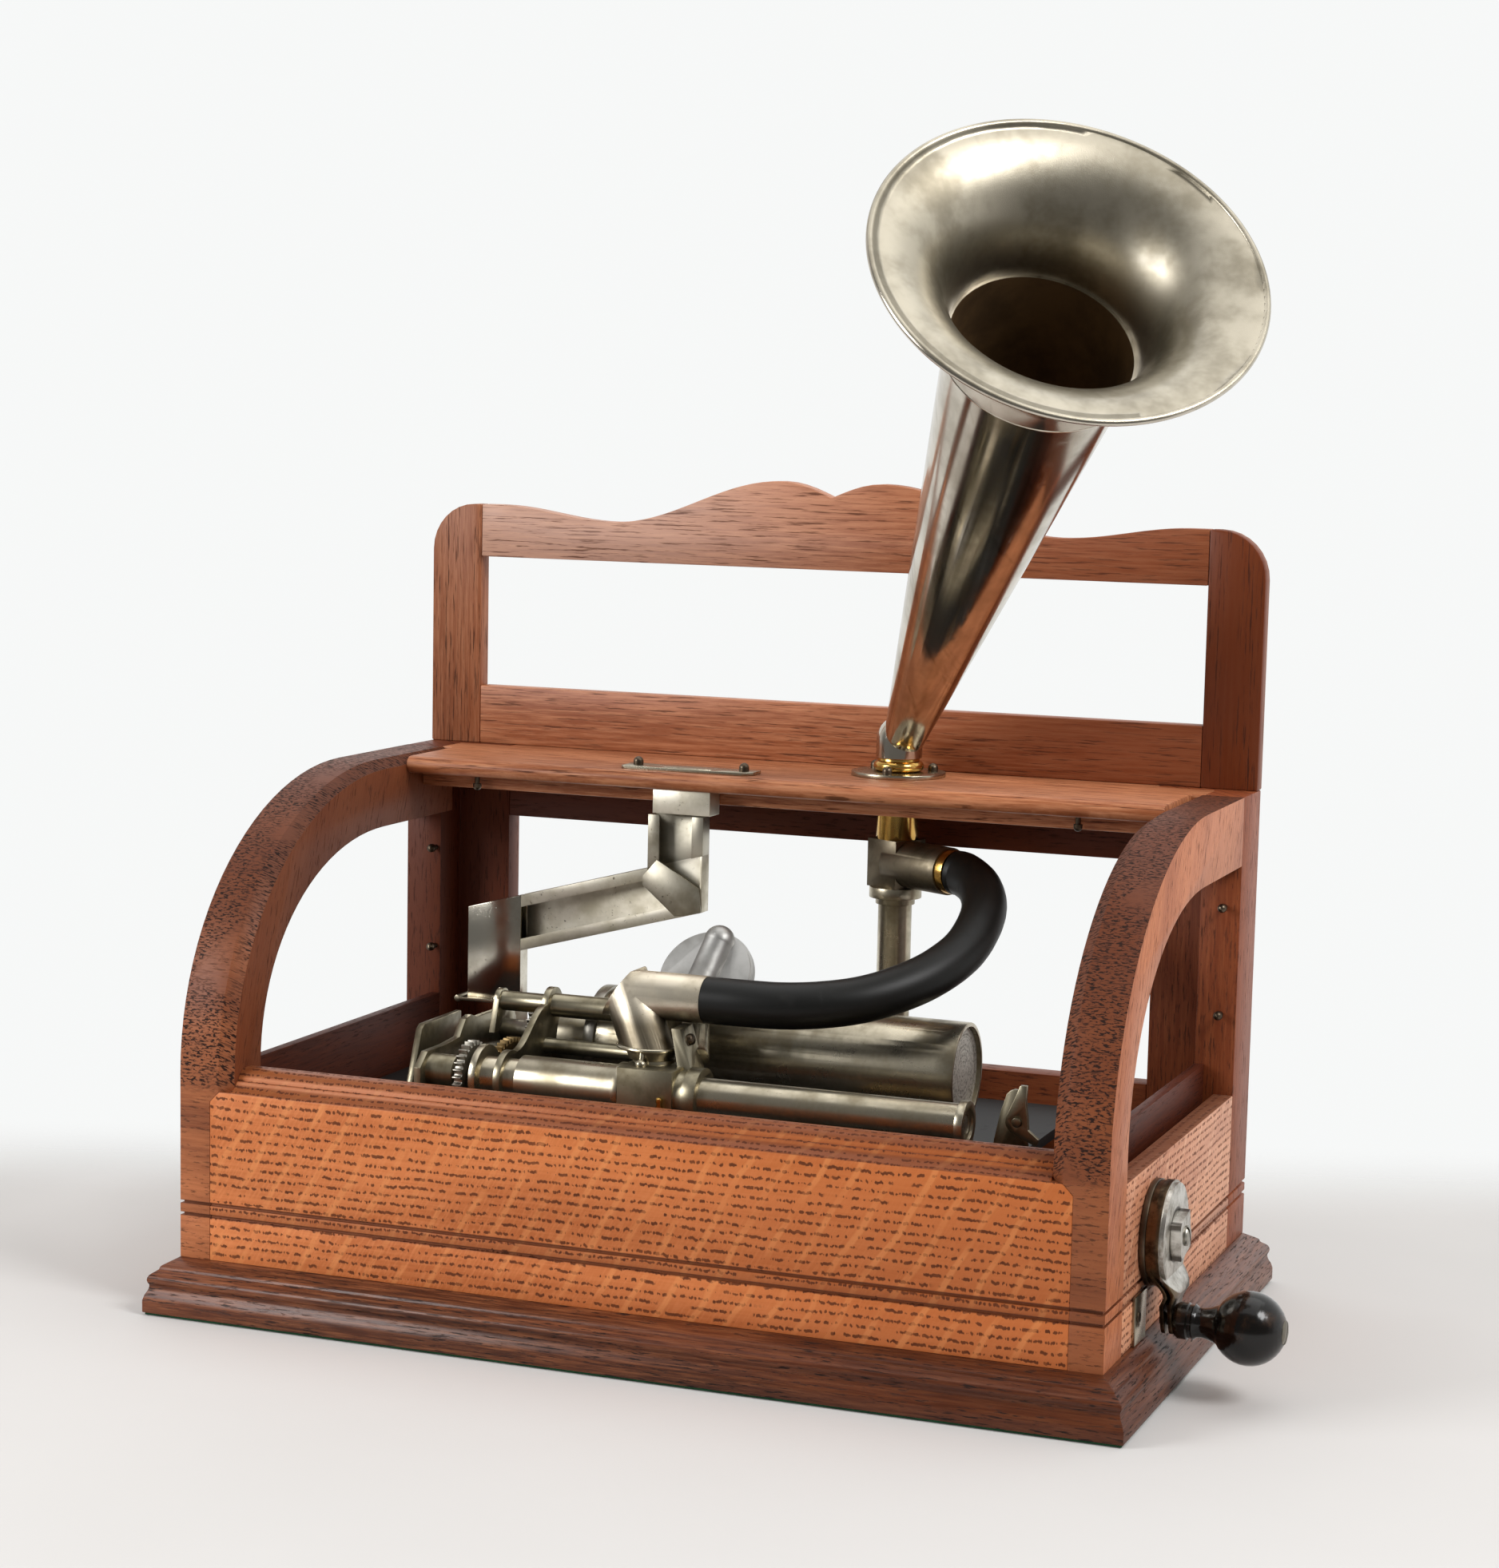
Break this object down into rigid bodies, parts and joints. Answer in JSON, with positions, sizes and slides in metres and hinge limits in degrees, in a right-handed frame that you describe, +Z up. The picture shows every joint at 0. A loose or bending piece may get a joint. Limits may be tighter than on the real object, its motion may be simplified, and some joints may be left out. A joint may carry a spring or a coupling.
{
  "type": "coin-operated cylinder phonograph",
  "caption": "Oak-cased coin-operated phonograph with an arched open front, a cylinder mandrel, a sliding sound carriage, a swivelling horn and a winding crank.",
  "frame": {"origin": "centre of the case on the floor, under the felt", "axes": "+X to the crank side, +Y to the header at the back, +Z up"},
  "size_m": [0.4793, 0.2972, 0.5068],
  "materials": {
    "felt": "thin green felt",
    "oak_panel": "orange-brown quarter-sawn oak, satin varnish",
    "oak_frame": "red-brown oak, satin varnish",
    "oak_base": "dark brown oak, satin varnish",
    "nickel": "worn warm nickel plate",
    "worn_plate": "dull spotted tinned sheet",
    "steel": "turned steel",
    "dark_steel": "dark oily steel",
    "iron": "black japanned iron",
    "brass": "polished brass",
    "aluminium": "dull cast aluminium",
    "rubber": "matt black rubber",
    "lacquer": "turned wood, black lacquer"
  },
  "bodies": {
    "case": {"felt_pad": "felt", "base_moulding": "oak_base", "front_panel": "oak_panel", "left_arch": "oak_frame", "right_arch": "oak_frame", "left_side_panel": "oak_panel", "right_side_panel": "oak_panel", "glass_stops": "oak_frame", "left_rear_post": "oak_frame", "right_rear_post": "oak_frame", "back_lower_rail": "oak_frame", "back_top_rail": "oak_frame", "shelf": "oak_frame", "header_stiles": "oak_frame", "header_top_rail": "oak_frame", "header_bottom_rail": "oak_frame", "case_screws": "dark_steel", "bed_bearers": "oak_frame", "bed_plate": "iron", "end_frame": "nickel", "bearing_plate": "nickel", "bearing_drum": "nickel", "feed_tube": "nickel", "feed_tube_end": "nickel", "motor_frame": "steel", "trip_bracket": "dark_steel", "coin_plate": "nickel", "shelf_screws": "dark_steel", "coin_entry_box": "worn_plate", "chute_upper": "worn_plate", "chute_corner_plate": "worn_plate", "chute_slope": "worn_plate", "chute_lower": "nickel", "chute_foot": "nickel", "horn_flange": "nickel", "horn_socket": "brass", "tee_block": "nickel", "post_pipe": "nickel", "hose_ferrule": "brass", "rubber_hose": "rubber", "case_bar": "nickel"},
    "horn": {"horn_cone": "nickel", "horn_bell": "nickel"},
    "mandrel": {"mandrel": "nickel", "mandrel_end_plate": "worn_plate", "mandrel_shaft": "steel"},
    "idler": {"idler_gear": "brass"},
    "feed": {"feed_screw": "steel"},
    "arbor": {"centre_arbor": "brass"},
    "barrel": {"spring_barrel": "brass"},
    "governor": {"governor": "brass"},
    "carriage": {"carriage_sleeve": "nickel"},
    "arm": {"carriage_frame": "nickel", "sound_elbow": "nickel", "reproducer": "aluminium"},
    "coin_lever": {"coin_lever": "dark_steel"},
    "trip_lever": {"trip_lever": "dark_steel"},
    "crank": {"winding_shaft": "dark_steel", "crank_arm": "dark_steel"},
    "knob": {"crank_knob": "lacquer"}
  },
  "joints": [
    {"name": "mandrel_spin", "type": "hinge", "parent": "case", "child": "mandrel", "pos_m": [0, 0.01, 0.1092], "axis": [1, 0, 0], "continuous": true},
    {"name": "idler_spin", "type": "hinge", "parent": "case", "child": "idler", "pos_m": [-0.096, -0.02416, 0.08308], "axis": [1, 0, 0], "continuous": true},
    {"name": "feed_spin", "type": "hinge", "parent": "case", "child": "feed", "pos_m": [0, -0.062, 0.1035], "axis": [1, 0, 0], "continuous": true},
    {"name": "arbor_spin", "type": "hinge", "parent": "case", "child": "arbor", "pos_m": [-0.02, -0.03425, 0.04334], "axis": [1, 0, 0], "continuous": true},
    {"name": "barrel_spin", "type": "hinge", "parent": "case", "child": "barrel", "pos_m": [0.09, -0.052, 0.065], "axis": [1, 0, 0], "continuous": true},
    {"name": "governor_spin", "type": "hinge", "parent": "case", "child": "governor", "pos_m": [-0.07, -0.00166, 0.05627], "axis": [1, 0, 0], "continuous": true},
    {"name": "carriage_slide", "type": "slide", "parent": "case", "child": "carriage", "axis": [1, 0, 0], "range_m": [0, 0.1], "deforming": ["rubber_hose"]},
    {"name": "arm_lift", "type": "hinge", "parent": "carriage", "child": "arm", "pos_m": [-0.04, -0.062, 0.1035], "axis": [1, 0, 0], "range_deg": [0, 35], "deforming": ["rubber_hose"]},
    {"name": "horn_swivel", "type": "hinge", "parent": "case", "child": "horn", "pos_m": [0.0446, 0.089, 0.2382], "axis": [0, 0, 1], "range_deg": [-100, 35]},
    {"name": "coin_lever_rock", "type": "hinge", "parent": "case", "child": "coin_lever", "pos_m": [-0.131, 0.036, 0.0932], "axis": [1, 0, 0], "range_deg": [-12, 6], "stiffness_Nm_per_rad": 0.02},
    {"name": "trip_rock", "type": "hinge", "parent": "case", "child": "trip_lever", "pos_m": [0.1442, -0.04, 0.1022], "axis": [0, 1, 0], "range_deg": [-15, 15]},
    {"name": "crank_turn", "type": "hinge", "parent": "case", "child": "crank", "pos_m": [0.205, -0.052, 0.065], "axis": [1, 0, 0], "continuous": true},
    {"name": "knob_spin", "type": "hinge", "parent": "crank", "child": "knob", "pos_m": [0.218, -0.056, 0.031], "axis": [1, 0, 0], "continuous": true}
  ],
  "couplings": [
    {"joint": "idler_spin", "follows": "mandrel_spin", "ratio": -0.48276},
    {"joint": "feed_spin", "follows": "mandrel_spin", "ratio": 1},
    {"joint": "arbor_spin", "follows": "mandrel_spin", "ratio": 1.1667},
    {"joint": "barrel_spin", "follows": "mandrel_spin", "ratio": -0.31818},
    {"joint": "governor_spin", "follows": "mandrel_spin", "ratio": 2.3333}
  ]
}
